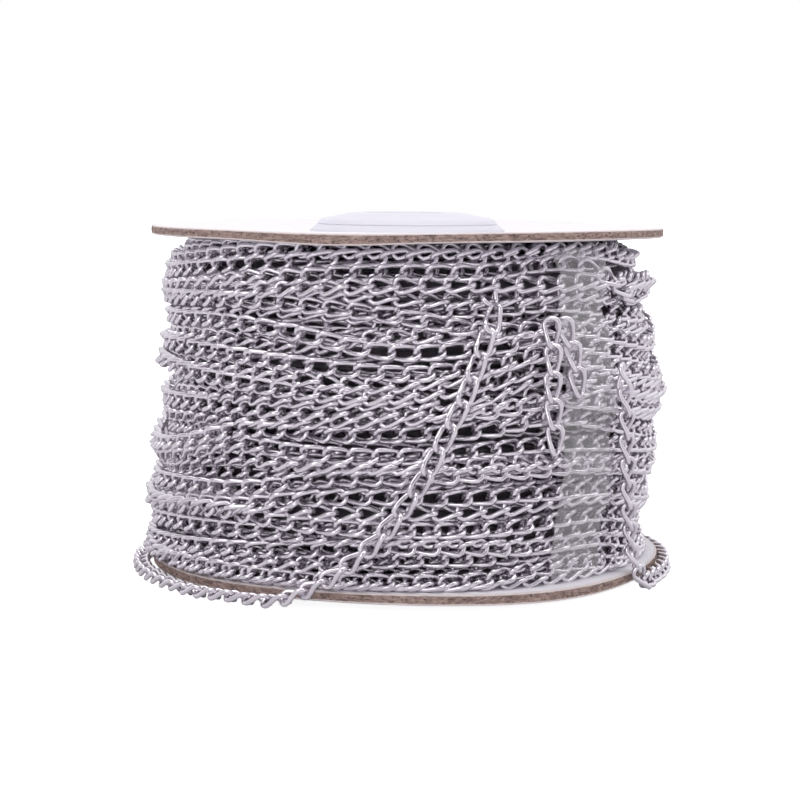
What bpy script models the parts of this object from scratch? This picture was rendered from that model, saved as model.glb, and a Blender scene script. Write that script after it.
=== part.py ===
"""Reel of curb chain: two chipboard discs on a moulded hub, wound full of chain.

Run with: blender --background --python part.py
The reel's axis is the Z axis and its hub stands on z = 0. All sizes are in metres.
An azimuth is in degrees, 0 at the front (-Y) and growing towards the right (+X).
"""

import math

import bmesh
import bpy
from mathutils import Vector

# Reel
DISC_RADIUS = 0.0500
DISC_THICKNESS = 0.0018
LOWER_DISC_FOOT = 0.0022
UPPER_DISC_FOOT = 0.0656
EDGE_ROUND = 0.0004
GAP = 0.0003

# The upper disc is dished: its middle lies this much lower than its rim
UPPER_DISC_DISH = 0.0012

# Hub: a bored tube with a tapered boss at each end, the upper one slightly domed
HUB_RADIUS = 0.0170
HUB_HEIGHT = 0.0699
BORE_RADIUS = 0.0080
BOSS_BASE_RADIUS = 0.0192
BOSS_SHOULDER_RADIUS = 0.0175
BOSS_SHOULDER_HEIGHT = 0.0685
BOSS_CROWN_RADIUS = 0.0118

# Curb chain, one strand lying flat
CHAIN_WIDTH = 0.00335
CHAIN_THICKNESS = 0.0023

# The winding: radius of each outer turn's crest at the left and at the right, from the foot up.
# Some turns lie proud and some have sunk between the others.
TURN_CRESTS = [
    (0.0506, 0.0462), (0.0506, 0.0460), (0.0508, 0.0467), (0.0505, 0.0476), (0.0500, 0.0482), (0.0490, 0.0484),
    (0.0502, 0.0493), (0.0487, 0.0485), (0.0480, 0.0476), (0.0477, 0.0502), (0.0489, 0.0495), (0.0484, 0.0478),
    (0.0476, 0.0493), (0.0470, 0.0484), (0.0467, 0.0458), (0.0470, 0.0481), (0.0462, 0.0474), (0.0448, 0.0450),
]
# A groove lies this much below the lower of its two turns, and a turn's flanks below its crest
GROOVE_DEPTH = 0.0013
FLANK_DEPTH = 0.0004
WINDING_FOOT = LOWER_DISC_FOOT + DISC_THICKNESS + GAP
WINDING_TOP = UPPER_DISC_FOOT - 2 * GAP
TURN_SPACING = (WINDING_TOP - WINDING_FOOT) / len(TURN_CRESTS)

# Strip of tape that holds the last turns
TAPE_FROM_AZIMUTH = 34.0
TAPE_WIDTH = 0.0127
TAPE_THICKNESS = 0.0002
TAPE_FOOT = 0.0057
TAPE_TOP = 0.0644

# How far a strand's middle stands off the winding, bare and over the tape
BARE_LIFT = GAP + CHAIN_THICKNESS / 2
TAPED_LIFT = BARE_LIFT + 1.5 * GAP + TAPE_THICKNESS

# The slipped turn crosses the front, lies flat on the floor round the lower disc's rim
# and climbs back on to the winding. Run points: azimuth, height of the strand's middle.
# Route points: azimuth, radius, height, and roll, 0 with the flat side out and 90 with it up.
# A lie is a radius, height and roll; from the back on the turn leans up against the rim.
FRONT_RUN = [
    (18.7, 0.0557), (16.3, 0.0501), (14.4, 0.0453), (11.3, 0.0384),
    (7.4, 0.0314), (2.3, 0.0230), (-4.2, 0.0151), (-7.9, 0.0118),
]
RIM_DESCENT = [(-11.5, 0.0515, 0.0090, 10.0), (-16.0, 0.0520, 0.0058, 35.0), (-21.0, 0.0523, 0.0034, 60.0)]
RIM_FROM_AZIMUTH = -27.0
RIM_TO_AZIMUTH = -298.0
RIM_STEPS = 24
RIM_LIE = Vector((0.0523, 0.0013, 90.0))
LEAN_LIE = Vector((0.0516, 0.0018, 12.0))
LEAN_FROM_AZIMUTH = -105.0
LEAN_TO_AZIMUTH = -180.0
RIM_CLIMB = [
    (-301.0, 0.0518, 0.0024, 12.0), (-302.3, 0.0517, 0.0042, 12.0),
    (-302.3, 0.0510, 0.0064, 12.0), (-302.5, 0.0502, 0.0088, 8.0),
]
SIDE_RUN = [
    (56.5, 0.0132), (54.8, 0.0182), (52.5, 0.0232), (51.9, 0.0279),
    (50.9, 0.0326), (50.2, 0.0373), (48.4, 0.0412), (45.1, 0.0431),
]

# The free end is a bight tucked under a turn, with one long leg and one short leg
TAIL_ROUTE = [
    (36.1, 0.0408), (35.5, 0.0453), (34.5, 0.0490), (32.2, 0.0513), (29.8, 0.0500),
    (29.6, 0.0473), (30.2, 0.0440), (30.0, 0.0402), (30.2, 0.0360), (30.7, 0.0308),
]

STRAND_SECTION_SPACING = 0.0050
TAIL_SECTION_SPACING = 0.0020
STRAND_SIDES = 8
DISC_STEPS = 64
HUB_STEPS = 32
WINDING_STEPS = 48


def clear_scene():
    for old in list(bpy.data.objects):
        bpy.data.objects.remove(old, do_unlink=True)


def make_material(name, colour, roughness, metallic=0.0, alpha=1.0):
    material = bpy.data.materials.new(name)
    material.use_nodes = True
    shader = material.node_tree.nodes["Principled BSDF"]
    shader.inputs["Base Color"].default_value = (*colour, 1.0)
    shader.inputs["Roughness"].default_value = roughness
    shader.inputs["Metallic"].default_value = metallic
    shader.inputs["Alpha"].default_value = alpha
    return material


def add_object(name, mesh, material, collection):
    part = bpy.data.objects.new(name, mesh)
    collection.objects.link(part)
    mesh.materials.append(material)
    mesh.shade_smooth()
    mesh.set_sharp_from_angle(angle=math.radians(40))
    return part


def turned(name, outline, steps, material, collection):
    """Turn a closed outline of (radius, height) points, running down its outer side, about Z."""
    mesh = bpy.data.meshes.new(name)
    corners = [(radius, 0.0, height) for radius, height in outline]
    edges = [(i, (i + 1) % len(corners)) for i in range(len(corners))]
    mesh.from_pydata(corners, edges, [])
    part = add_object(name, mesh, material, collection)
    screw = part.modifiers.new("turn", "SCREW")
    screw.axis = "Z"
    screw.angle = math.tau
    screw.steps = steps
    screw.render_steps = steps
    screw.use_merge_vertices = False
    screw.use_smooth_shade = True
    return part


def dish_drop(radius):
    """How far the upper disc lies below its rim at a radius."""
    share = (DISC_RADIUS - EDGE_ROUND - radius) / (DISC_RADIUS - EDGE_ROUND - HUB_RADIUS - GAP)
    return UPPER_DISC_DISH * share


def disc_outline(rim_foot, dish):
    """A ring with its outer edges slightly rounded and its middle lower by the dish."""
    rim_top = rim_foot + DISC_THICKNESS
    hole = HUB_RADIUS + GAP
    return [
        (DISC_RADIUS - EDGE_ROUND, rim_top),
        (DISC_RADIUS, rim_top - EDGE_ROUND),
        (DISC_RADIUS, rim_foot + EDGE_ROUND),
        (DISC_RADIUS - EDGE_ROUND, rim_foot),
        (hole, rim_foot - dish),
        (hole, rim_top - dish),
    ]


def hub_outline():
    """A bored tube whose bosses hold the upper disc down and carry the lower disc."""
    upper_boss = UPPER_DISC_FOOT + DISC_THICKNESS - dish_drop(BOSS_BASE_RADIUS) + GAP
    lower_boss = LOWER_DISC_FOOT - GAP
    return [
        (BOSS_CROWN_RADIUS, HUB_HEIGHT),
        (BOSS_SHOULDER_RADIUS - 2 * EDGE_ROUND, BOSS_SHOULDER_HEIGHT + EDGE_ROUND),
        (BOSS_SHOULDER_RADIUS, BOSS_SHOULDER_HEIGHT),
        (BOSS_BASE_RADIUS, upper_boss + EDGE_ROUND),
        (BOSS_BASE_RADIUS, upper_boss),
        (HUB_RADIUS, upper_boss),
        (HUB_RADIUS, lower_boss),
        (BOSS_BASE_RADIUS, lower_boss),
        (BOSS_BASE_RADIUS, lower_boss - EDGE_ROUND),
        (BOSS_SHOULDER_RADIUS, EDGE_ROUND),
        (BOSS_SHOULDER_RADIUS - EDGE_ROUND, 0.0),
        (BORE_RADIUS, 0.0),
        (BORE_RADIUS, HUB_HEIGHT - EDGE_ROUND),
        (BORE_RADIUS + EDGE_ROUND, HUB_HEIGHT),
    ]


def turn_crests(azimuth):
    """Crest radius of every outer turn at an azimuth, from the foot up."""
    share = 0.5 + 0.5 * math.sin(math.radians(azimuth))
    return [left + (right - left) * share for left, right in TURN_CRESTS]


def rest_radius(azimuth, height):
    """Radius of what lies on the turns at a height: it spans the sunken ones."""
    crests = turn_crests(azimuth)
    place = (height - WINDING_FOOT) / TURN_SPACING - 0.5
    low = min(max(math.floor(place), 0), len(crests) - 2)
    share = min(max(place - low, 0.0), 1.0)
    proud = [max(crests[max(i - 1, 0):i + 2]) for i in (low, low + 1)]
    return proud[0] + (proud[1] - proud[0]) * share


def winding_outline(azimuth):
    """The outer turns at an azimuth, top to bottom, closed along the hub."""
    crests = turn_crests(azimuth)
    outline = [(crests[-1] - GROOVE_DEPTH, WINDING_TOP)]
    for i in reversed(range(len(crests))):
        middle = WINDING_FOOT + TURN_SPACING * (i + 0.5)
        below = crests[max(i - 1, 0)]
        outline.append((crests[i] - FLANK_DEPTH, middle + TURN_SPACING / 4))
        outline.append((crests[i], middle))
        outline.append((crests[i] - FLANK_DEPTH, middle - TURN_SPACING / 4))
        outline.append((min(crests[i], below) - GROOVE_DEPTH, middle - TURN_SPACING / 2))
    bore = HUB_RADIUS + GAP
    outline.append((bore, WINDING_FOOT))
    outline.append((bore, UPPER_DISC_FOOT - UPPER_DISC_DISH - GAP))
    return outline


def on_cylinder(azimuth, radius, height):
    angle = math.radians(azimuth)
    return Vector((radius * math.sin(angle), -radius * math.cos(angle), height))


def on_winding(azimuth, height, lift):
    return on_cylinder(azimuth, rest_radius(azimuth, height) + lift, height)


def rolled(point, roll=0.0):
    return Vector((*point, roll))


def smooth_route(points, spacing):
    """Points (x, y, z, roll) along a Catmull-Rom curve through the route's points."""
    padded = [2 * points[0] - points[1], *points, 2 * points[-1] - points[-2]]
    route = [points[0]]
    for before, start, end, after in zip(padded, padded[1:], padded[2:], padded[3:]):
        steps = max(1, round((end - start).xyz.length / spacing))
        for step in range(1, steps + 1):
            t = step / steps
            route.append(0.5 * (
                2 * start
                + (end - before) * t
                + (2 * before - 5 * start + 4 * end - after) * t ** 2
                + (3 * start - before - 3 * end + after) * t ** 3
            ))
    return route


def make_winding(name, material, collection):
    """Join the outlines at every azimuth into one closed body."""
    bm = bmesh.new()
    rings = []
    for step in range(WINDING_STEPS):
        azimuth = 360 * step / WINDING_STEPS
        rings.append([bm.verts.new(on_cylinder(azimuth, *place)) for place in winding_outline(azimuth)])
    for ring, after in zip(rings, rings[1:] + rings[:1]):
        for i in range(len(ring)):
            j = (i + 1) % len(ring)
            bm.faces.new((ring[i], ring[j], after[j], after[i]))
    bmesh.ops.recalc_face_normals(bm, faces=bm.faces)
    mesh = bpy.data.meshes.new(name)
    bm.to_mesh(mesh)
    bm.free()
    return add_object(name, mesh, material, collection)


def make_strand(name, route, material, collection):
    """Loft an oval section along a route of (x, y, z, roll)."""
    bm = bmesh.new()
    rings = []
    for i, step in enumerate(route):
        point = step.xyz
        along = (route[min(i + 1, len(route) - 1)] - route[max(i - 1, 0)]).xyz.normalized()
        radial = Vector((point.x, point.y, 0.0)).normalized()
        radial = (radial - along * radial.dot(along)).normalized()
        beside = along.cross(radial)
        roll = math.radians(step.w)
        outward = radial * math.cos(roll) + beside * math.sin(roll)
        across = along.cross(outward)
        ring = []
        for side in range(STRAND_SIDES):
            angle = math.tau * side / STRAND_SIDES
            offset = outward * (CHAIN_THICKNESS / 2 * math.cos(angle))
            offset += across * (CHAIN_WIDTH / 2 * math.sin(angle))
            ring.append(bm.verts.new(point + offset))
        rings.append(ring)
    for lower, upper in zip(rings, rings[1:]):
        for side in range(STRAND_SIDES):
            after = (side + 1) % STRAND_SIDES
            bm.faces.new((lower[side], lower[after], upper[after], upper[side]))
    bm.faces.new(rings[0])
    bm.faces.new(rings[-1])
    bmesh.ops.recalc_face_normals(bm, faces=bm.faces)
    mesh = bpy.data.meshes.new(name)
    bm.to_mesh(mesh)
    bm.free()
    return add_object(name, mesh, material, collection)


def slipped_turn_route():
    points = [rolled(on_winding(azimuth, height, BARE_LIFT)) for azimuth, height in FRONT_RUN]
    points += [rolled(on_cylinder(*place), roll) for *place, roll in RIM_DESCENT]
    for i in range(RIM_STEPS + 1):
        azimuth = RIM_FROM_AZIMUTH + (RIM_TO_AZIMUTH - RIM_FROM_AZIMUTH) * i / RIM_STEPS
        share = (LEAN_FROM_AZIMUTH - azimuth) / (LEAN_FROM_AZIMUTH - LEAN_TO_AZIMUTH)
        lie = RIM_LIE.lerp(LEAN_LIE, min(max(share, 0.0), 1.0))
        points.append(rolled(on_cylinder(azimuth, lie.x, lie.y), lie.z))
    points += [rolled(on_cylinder(*place), roll) for *place, roll in RIM_CLIMB]
    points += [rolled(on_winding(azimuth, height, TAPED_LIFT)) for azimuth, height in SIDE_RUN]
    return smooth_route(points, STRAND_SECTION_SPACING)


def tail_route():
    points = [rolled(on_winding(azimuth, height, TAPED_LIFT)) for azimuth, height in TAIL_ROUTE]
    return smooth_route(points, TAIL_SECTION_SPACING)


def make_tape(name, material, collection):
    """A strip laid on the turns' crests, from under the upper disc to near the foot."""
    columns = 6
    rows = 2 * len(TURN_CRESTS)
    sweep = math.degrees(TAPE_WIDTH / rest_radius(TAPE_FROM_AZIMUTH, (TAPE_FOOT + TAPE_TOP) / 2))
    bm = bmesh.new()
    grid = []
    for row in range(rows + 1):
        height = TAPE_FOOT + (TAPE_TOP - TAPE_FOOT) * row / rows
        line = []
        for column in range(columns + 1):
            azimuth = TAPE_FROM_AZIMUTH + sweep * column / columns
            line.append(bm.verts.new(on_winding(azimuth, height, GAP)))
        grid.append(line)
    for lower, upper in zip(grid, grid[1:]):
        for column in range(columns):
            bm.faces.new((lower[column], lower[column + 1], upper[column + 1], upper[column]))
    mesh = bpy.data.meshes.new(name)
    bm.to_mesh(mesh)
    bm.free()
    part = add_object(name, mesh, material, collection)
    solidify = part.modifiers.new("thickness", "SOLIDIFY")
    solidify.thickness = TAPE_THICKNESS
    solidify.offset = 1.0
    return part


def build_reel():
    collection = bpy.data.collections.new("curb_chain_reel")
    bpy.context.scene.collection.children.link(collection)

    chipboard = make_material("chipboard", (0.34, 0.27, 0.23), 0.9)
    hub_plastic = make_material("hub_plastic", (0.84, 0.83, 0.88), 0.45)
    chain_steel = make_material("chain_steel", (0.70, 0.67, 0.71), 0.28, metallic=1.0)
    tape_film = make_material("tape_film", (0.74, 0.73, 0.74), 0.4, alpha=0.45)

    upper_outline = disc_outline(UPPER_DISC_FOOT, UPPER_DISC_DISH)
    turned("bottom_disc", disc_outline(LOWER_DISC_FOOT, 0.0), DISC_STEPS, chipboard, collection)
    turned("top_disc", upper_outline, DISC_STEPS, chipboard, collection)
    turned("hub", hub_outline(), HUB_STEPS, hub_plastic, collection)
    make_winding("wound_chain", chain_steel, collection)
    make_strand("slipped_turn", slipped_turn_route(), chain_steel, collection)
    make_strand("chain_tail", tail_route(), chain_steel, collection)
    make_tape("tape_strip", tape_film, collection)


clear_scene()
build_reel()
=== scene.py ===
import math
import random

import bmesh
import bpy
import numpy as np
from mathutils import Matrix, Vector, noise


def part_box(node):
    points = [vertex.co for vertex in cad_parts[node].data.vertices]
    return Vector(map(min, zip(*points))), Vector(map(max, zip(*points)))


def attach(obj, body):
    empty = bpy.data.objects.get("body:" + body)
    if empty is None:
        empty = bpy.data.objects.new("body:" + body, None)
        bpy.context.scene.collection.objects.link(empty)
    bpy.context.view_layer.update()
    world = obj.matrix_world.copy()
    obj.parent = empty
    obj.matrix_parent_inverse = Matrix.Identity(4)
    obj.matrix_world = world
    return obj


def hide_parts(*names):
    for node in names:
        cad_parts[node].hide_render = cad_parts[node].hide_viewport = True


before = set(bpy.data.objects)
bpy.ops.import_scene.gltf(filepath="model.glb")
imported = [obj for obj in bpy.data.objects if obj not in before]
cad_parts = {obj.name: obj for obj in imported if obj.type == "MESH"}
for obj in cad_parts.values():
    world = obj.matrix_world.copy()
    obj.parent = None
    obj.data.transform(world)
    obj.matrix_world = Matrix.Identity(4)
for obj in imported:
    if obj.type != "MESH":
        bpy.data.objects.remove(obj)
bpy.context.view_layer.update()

# An azimuth is in degrees, 0 at the front (-Y) and growing towards the right (+X).

# where the picture is taken from; a place read off the picture as a pixel goes through sightOn
viewpoint = {
    "place": Vector((-0.0012, -0.4000, 0.0772)),
    "pitchDown": 6.34,
    "roll": 0.4,
    "focalPixels": 2024,
    "imagePixels": 800,
    "sensor": 36.0,
    "nearest": 0.01,
}

# the reel's own sizes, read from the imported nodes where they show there
discLow, discHigh = (Vector(corner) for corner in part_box("bottom_disc"))
lidLow, lidHigh = (Vector(corner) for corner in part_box("top_disc"))
reel = {
    "discRadius": discHigh.x,
    "discFoot": discLow.z,
    "discTop": discHigh.z,
    "lidFoot": lidHigh.z - (discHigh.z - discLow.z),
    "lidTop": lidHigh.z,
    "lidDish": lidHigh.z - lidLow.z - (discHigh.z - discLow.z),
    "hubTop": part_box("hub")[1][2],
    "hubRadius": 0.0170,
    "gap": 0.0003,             # between parts that meet
    "sharpFrom": 40.0,         # edges that turn by more degrees than this stay sharp
}

# one curb link and how the strand of them lies
chain = {
    "pitch": 0.00446,
    "width": 0.00335,
    "thickness": 0.0023,
    "wire": 0.00092,
    "twist": 48.0,
    "pressed": 0.7,            # how far the press has squared the wrung link's sides, 0 to 1
    "cornerShare": 0.4999,     # corner radius as a share of the link's width; a half would double a point
    "cornerPoints": 8,
    "shake": Vector((0.06, 0.03, 0.03)),     # how far a link may be turned in its strand, in radians
}
# points round a link, and sides of its wire: where links are seen near by, and where they are half hidden
fineLinks = {"points": 24, "sides": 8}
plainLinks = {"points": 12, "sides": 5}


class Signal:
    # one output of a node; an expression on it adds the Math nodes that work it out
    def __init__(self, maker, socket):
        self.maker = maker
        self.socket = socket

    def also(self, name):
        return Signal(self.maker, pick(self.socket.node.outputs, name))

    def maths(self, operation, *others):
        return self.maker.maths(operation, self, *others)

    def __add__(self, other):
        return self.maths("ADD", other)

    def __radd__(self, other):
        return self.maths("ADD", other)

    def __sub__(self, other):
        return self.maths("SUBTRACT", other)

    def __rsub__(self, other):
        return self.maker.maths("SUBTRACT", other, self)

    def __mul__(self, other):
        return self.maths("MULTIPLY", other)

    def __rmul__(self, other):
        return self.maths("MULTIPLY", other)

    def __truediv__(self, other):
        return self.maths("DIVIDE", other)

    def __rtruediv__(self, other):
        return self.maker.maths("DIVIDE", other, self)


def pick(sockets, name):
    if isinstance(name, int):
        return [socket for socket in sockets if socket.enabled][name]
    return next(socket for socket in sockets if socket.name == name and socket.enabled)


class TreeMaker:
    # adds nodes to a shader tree or a Geometry Nodes tree
    def __init__(self, tree):
        self.tree = tree

    def node(self, kind, settings=None, sockets=None, out=0):
        made = self.tree.nodes.new(kind)
        for key, value in (settings or {}).items():
            if key == "stops":
                self.setStops(made.color_ramp, value)
            else:
                setattr(made, key, value)
        for key, value in (sockets or {}).items():
            target = pick(made.inputs, key)
            if isinstance(value, Signal):
                self.tree.links.new(value.socket, target)
            else:
                target.default_value = value
        return Signal(self, pick(made.outputs, out)) if made.outputs else made

    def maths(self, operation, *values):
        return self.node("ShaderNodeMath", {"operation": operation}, dict(enumerate(values)))

    def setStops(self, ramp, stops):
        while len(ramp.elements) < len(stops):
            ramp.elements.new(0.5)
        for element, (place, colour) in zip(ramp.elements, stops):
            element.position = place
            element.color = (*colour, 1.0)

    def takes(self, name, kind):
        self.tree.interface.new_socket(name=name, in_out="INPUT", socket_type=kind)


def addObject(name, data):
    added = bpy.data.objects.new(name, data)
    bpy.context.scene.collection.objects.link(added)
    return added


def pieceFrom(name, bm, material=None):
    mesh = bpy.data.meshes.new(name)
    bm.to_mesh(mesh)
    bm.free()
    if material:
        mesh.materials.append(material)
    return addObject(name, mesh)


def progress(value, start, end):
    # how far a value has come from the start to the end, from 0 to 1
    return min(max((value - start) / (end - start), 0.0), 1.0)


# Materials

def newMaterial(name):
    material = bpy.data.materials.new(name)
    material.use_nodes = True
    material.node_tree.nodes.clear()
    return material, TreeMaker(material.node_tree)


def finishMaterial(maker, sockets):
    shader = maker.node("ShaderNodeBsdfPrincipled", sockets=sockets)
    maker.node("ShaderNodeOutputMaterial", sockets={"Surface": shader})


def objectPlace(maker):
    return maker.node("ShaderNodeTexCoord", out="Object")


def mottling(maker, place, scale, detail=4.0, rough=0.55):
    return maker.node("ShaderNodeTexNoise", sockets={
        "Vector": place, "Scale": scale, "Detail": detail, "Roughness": rough})


def stretch(maker, place, scale):
    return maker.node("ShaderNodeMapping", sockets={"Vector": place, "Scale": scale})


def blendColours(maker, share, first, second):
    return maker.node("ShaderNodeMix", {"data_type": "RGBA"}, {"Factor": share, "A": first, "B": second})


def ranged(share, span):
    # a share from 0 to 1 carried over to a span of values
    low, high = span
    return share * (high - low) + low


def smoothStep(maker, value, start, end):
    return maker.node("ShaderNodeMapRange", {"interpolation_type": "SMOOTHSTEP"}, {
        "Value": value, "From Min": start, "From Max": end})


def bumped(maker, height, bump):
    # bump: its strength and its depth
    strength, depth = bump
    return maker.node("ShaderNodeBump", sockets={"Strength": strength, "Distance": depth, "Height": height})


def wireFinish():
    # bright drawn steel: a mauve-silver tint, slightly different from link to link
    look = {
        "bright": (0.84, 0.81, 0.85, 1.0),
        "dull": (0.70, 0.665, 0.715, 1.0),
        "toneShare": 0.6,      # how much of the dulling goes by link
        "cloudShare": 0.6,     # and how much by cloud
        "polish": 0.1,         # and how much brighter the whole is
        "rough": (0.17, 0.25),
        "cloudScale": 900.0,
        "grainScale": 5200.0,
        "grainBump": (0.05, 0.00005),
    }
    material, make = newMaterial("drawnSteelWire")
    place = objectPlace(make)
    tone = make.node("ShaderNodeAttribute", {"attribute_name": "linkTone"}, out="Fac")
    cloud = mottling(make, place, look["cloudScale"])
    share = (tone * look["toneShare"] + cloud * look["cloudShare"]) - look["polish"]
    grain = mottling(make, place, look["grainScale"], detail=3.0)
    finishMaterial(make, {
        "Base Color": blendColours(make, share, look["bright"], look["dull"]), "Metallic": 1.0,
        "Roughness": ranged(cloud, look["rough"]), "Normal": bumped(make, grain, look["grainBump"])})
    return material


def shadowFinish():
    # steel seen deep inside the winding, painted dark for the shade that fills it
    look = {
        "dark": (0.085, 0.08, 0.09, 1.0),
        "light": (0.40, 0.375, 0.42, 1.0),
        "rough": (0.4, 0.7),
        "metallic": 0.5,
        "cloudScale": 500.0,
    }
    material, make = newMaterial("innerWindingPaintedShade")
    cloud = mottling(make, objectPlace(make), look["cloudScale"])
    finishMaterial(make, {
        "Base Color": blendColours(make, cloud, look["dark"], look["light"]),
        "Roughness": ranged(cloud, look["rough"]), "Metallic": look["metallic"]})
    return material


# chipboard with a white paper liner on both faces; the cut edge shows the brown fibres
boardLook = {
    "fibreDark": (0.11, 0.072, 0.062, 1.0),
    "fibreLight": (0.465, 0.335, 0.292, 1.0),
    "fibreScale": 620.0,
    "fibreStretch": (1.0, 1.0, 3.6),       # fibres and plies lie flat in the board
    "fibreSpan": (-1.15, 1.85),            # past 0 and 1 the brown stays at its darkest or lightest
    "plyScale": 190.0,
    "plyShare": 0.6,
    "pit": (0.060, 0.042, 0.040, 1.0),
    "pitScale": 1500.0,
    "pitStretch": (1.0, 1.0, 1.7),
    "pitSpan": (0.54, 0.64),
    "pitShare": 0.7,
    "edgeInsets": (0.00045, 0.00025),      # how far in from the rim the paper gives way to the cut edge
    "liner": (0.76, 0.68, 0.66, 1.0),
    "linerSpan": (0.80, 0.94),             # from the board's middle at 0 to its face at 1
    "linerRagged": 0.12,
    "undersideLiner": 0.12,                # the lower disc shows more of the liner on its underside
    "lowerDiscBelow": 0.01,                # a height that only the lower disc lies under
    "paper": (0.86, 0.84, 0.87, 1.0),
    "paperDusk": (0.76, 0.74, 0.78, 1.0),
    "speckScale": 260.0,
    "rough": (0.78, 0.93),
    "fibreRelief": 0.9,
    "pitRelief": 0.5,
    "speckRelief": 0.1,
    "reliefBump": (0.6, 0.0003),
}


def boardFibres(make, place):
    # the cut edge's fibres, pits and brown
    flat = stretch(make, place, boardLook["fibreStretch"])
    fibres = mottling(make, flat, boardLook["fibreScale"], detail=6.0, rough=0.7)
    plies = mottling(make, flat, boardLook["plyScale"], detail=3.0)
    light = ranged(fibres, boardLook["fibreSpan"]) + plies * boardLook["plyShare"]
    brown = blendColours(make, light, boardLook["fibreDark"], boardLook["fibreLight"])
    grit = mottling(make, stretch(make, place, boardLook["pitStretch"]), boardLook["pitScale"],
                    detail=3.0, rough=0.6)
    pits = smoothStep(make, grit, *boardLook["pitSpan"])
    return fibres, pits, blendColours(make, pits * boardLook["pitShare"], brown, boardLook["pit"])


def boardFinish():
    material, make = newMaterial("paperLinedChipboard")
    place = objectPlace(make)
    x = make.node("ShaderNodeSeparateXYZ", sockets={"Vector": place})
    y, z = x.also("Y"), x.also("Z")
    radius = (x * x + y * y).maths("SQRT")
    onEdge = smoothStep(make, radius, *(reel["discRadius"] - inset for inset in boardLook["edgeInsets"]))
    fibres, pits, brown = boardFibres(make, place)
    edgeShare = make.node("ShaderNodeAttribute", {"attribute_name": "acrossEdge"}, out="Fac")
    nearFace = (edgeShare - 0.5).maths("ABSOLUTE") * 2.0
    underside = edgeShare.maths("LESS_THAN", 0.5) * z.maths("LESS_THAN", boardLook["lowerDiscBelow"])
    lined = nearFace + underside * boardLook["undersideLiner"] + fibres * boardLook["linerRagged"]
    edge = blendColours(make, smoothStep(make, lined, *boardLook["linerSpan"]), brown, boardLook["liner"])
    speck = mottling(make, place, boardLook["speckScale"], detail=5.0)
    paper = blendColours(make, speck, boardLook["paper"], boardLook["paperDusk"])
    relief = (fibres * boardLook["fibreRelief"] - pits * boardLook["pitRelief"]) * onEdge
    relief = relief + speck * boardLook["speckRelief"]
    finishMaterial(make, {
        "Base Color": blendColours(make, onEdge, paper, edge),
        "Roughness": ranged(fibres, boardLook["rough"]),
        "Normal": bumped(make, relief, boardLook["reliefBump"])})
    return material


def hubFinish():
    # moulded white plastic
    look = {
        "clear": (0.70, 0.69, 0.755, 1.0),
        "dusky": (0.65, 0.64, 0.705, 1.0),
        "rough": (0.34, 0.46),
        "cloudScale": 130.0,
        "grainScale": 2400.0,
        "grainBump": (0.08, 0.0001),
        "glow": 0.25,
        "glowDepth": 0.002,
        "glowTint": (1.0, 0.9, 1.0),
    }
    material, make = newMaterial("mouldedWhitePlastic")
    place = objectPlace(make)
    cloud = mottling(make, place, look["cloudScale"])
    grain = mottling(make, place, look["grainScale"], detail=2.0)
    finishMaterial(make, {
        "Base Color": blendColours(make, cloud, look["clear"], look["dusky"]),
        "Roughness": ranged(cloud, look["rough"]), "Normal": bumped(make, grain, look["grainBump"]),
        "Subsurface Weight": look["glow"], "Subsurface Scale": look["glowDepth"],
        "Subsurface Radius": look["glowTint"]})
    return material


def tapeFinish():
    # milky film that lets the chain show through
    look = {
        "milk": (0.88, 0.87, 0.88, 1.0),
        "dusk": (0.80, 0.79, 0.80, 1.0),
        "rough": (0.3, 0.5),
        "cover": (0.09, 0.19),
        "cloudScale": 160.0,
        "creaseScale": 900.0,
        "creaseBump": (0.12, 0.0002),
    }
    material, make = newMaterial("milkyTape")
    place = objectPlace(make)
    cloud = mottling(make, place, look["cloudScale"], detail=3.0)
    creases = mottling(make, place, look["creaseScale"])
    finishMaterial(make, {
        "Base Color": blendColours(make, cloud, look["milk"], look["dusk"]),
        "Roughness": ranged(cloud, look["rough"]), "Alpha": ranged(cloud, look["cover"]),
        "Normal": bumped(make, creases, look["creaseBump"])})
    return material


def floorFinish():
    # the reel mirrors a duller floor than the picture shows
    look = {
        "white": (0.90, 0.90, 0.905, 1.0),
        "dusk": (0.88, 0.88, 0.885, 1.0),
        "mirrored": (0.68, 0.67, 0.69, 1.0),
        "rough": 0.9,
        "cloudScale": 3.0,
    }
    material, make = newMaterial("paleFloor")
    cloud = mottling(make, objectPlace(make), look["cloudScale"])
    colour = blendColours(make, cloud, look["white"], look["dusk"])
    shown = make.node("ShaderNodeBsdfPrincipled", sockets={
        "Base Color": colour, "Roughness": look["rough"], "Emission Color": colour, "Emission Strength": 1.0})
    mirrored = make.node("ShaderNodeBsdfPrincipled", sockets={
        "Base Color": look["mirrored"], "Roughness": look["rough"]})
    seen = make.node("ShaderNodeLightPath", out="Is Camera Ray")
    both = make.node("ShaderNodeMixShader", sockets={0: seen, 1: mirrored, 2: shown})
    make.node("ShaderNodeOutputMaterial", sockets={"Surface": both})
    return material


# Camera and sight lines

def makeCamera():
    lens = bpy.data.cameras.new("viewpoint")
    lens.sensor_width = viewpoint["sensor"]
    lens.lens = viewpoint["focalPixels"] * viewpoint["sensor"] / viewpoint["imagePixels"]
    lens.clip_start = viewpoint["nearest"]
    camera = addObject("viewpoint", lens)
    bpy.context.scene.camera = camera
    turn = Matrix.Rotation(math.radians(90 - viewpoint["pitchDown"]), 4, "X")
    turn = turn @ Matrix.Rotation(math.radians(viewpoint["roll"]), 4, "Z")
    camera.matrix_world = Matrix.Translation(viewpoint["place"]) @ turn
    return turn


cameraTurn = makeCamera()
print("camera placed")


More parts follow.
